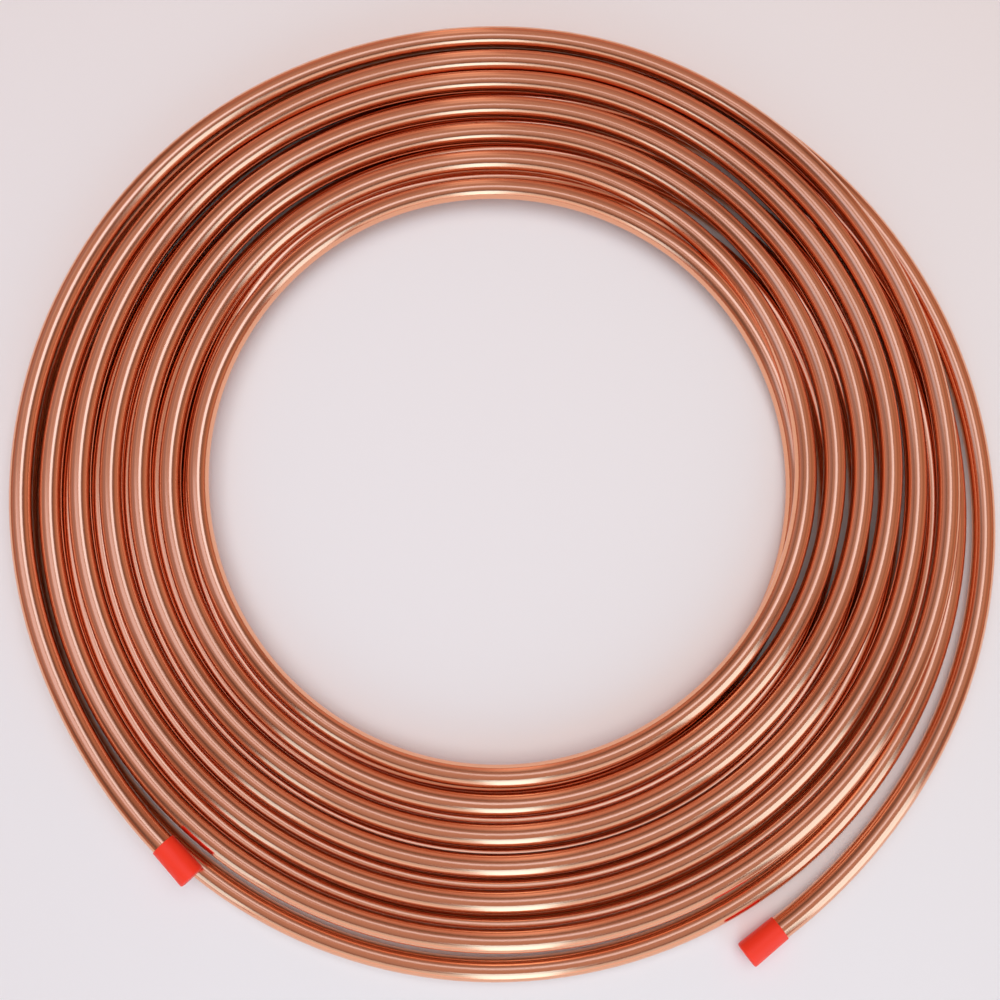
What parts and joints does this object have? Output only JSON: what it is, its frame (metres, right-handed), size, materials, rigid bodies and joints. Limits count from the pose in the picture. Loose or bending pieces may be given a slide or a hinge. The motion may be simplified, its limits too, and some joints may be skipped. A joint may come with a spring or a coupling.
{
  "type": "copper tube coil",
  "caption": "Flat coil of soft copper tube wound in two layers around an open centre, with a push-on cap on each tube end.",
  "frame": {"origin": "centre of the coil's open middle, on the floor plane that its lower layer rests on", "axes": "+Z is the coil's winding axis and points up, +Y runs away from the viewer of the picture, and +X to the viewer's right, where the lower layer's loose end leaves the coil"},
  "size_m": [0.4478, 0.4404, 0.0213],
  "materials": {
    "bright_copper": "bright drawn soft copper, polished by the die, with light scuffs",
    "red_cap_plastic": "moulded soft polyethylene, red, slightly waxy"
  },
  "bodies": {
    "root": {"copper_tube": "bright_copper", "lower_end_cap": "red_cap_plastic", "upper_end_cap": "red_cap_plastic"}
  },
  "joints": []
}
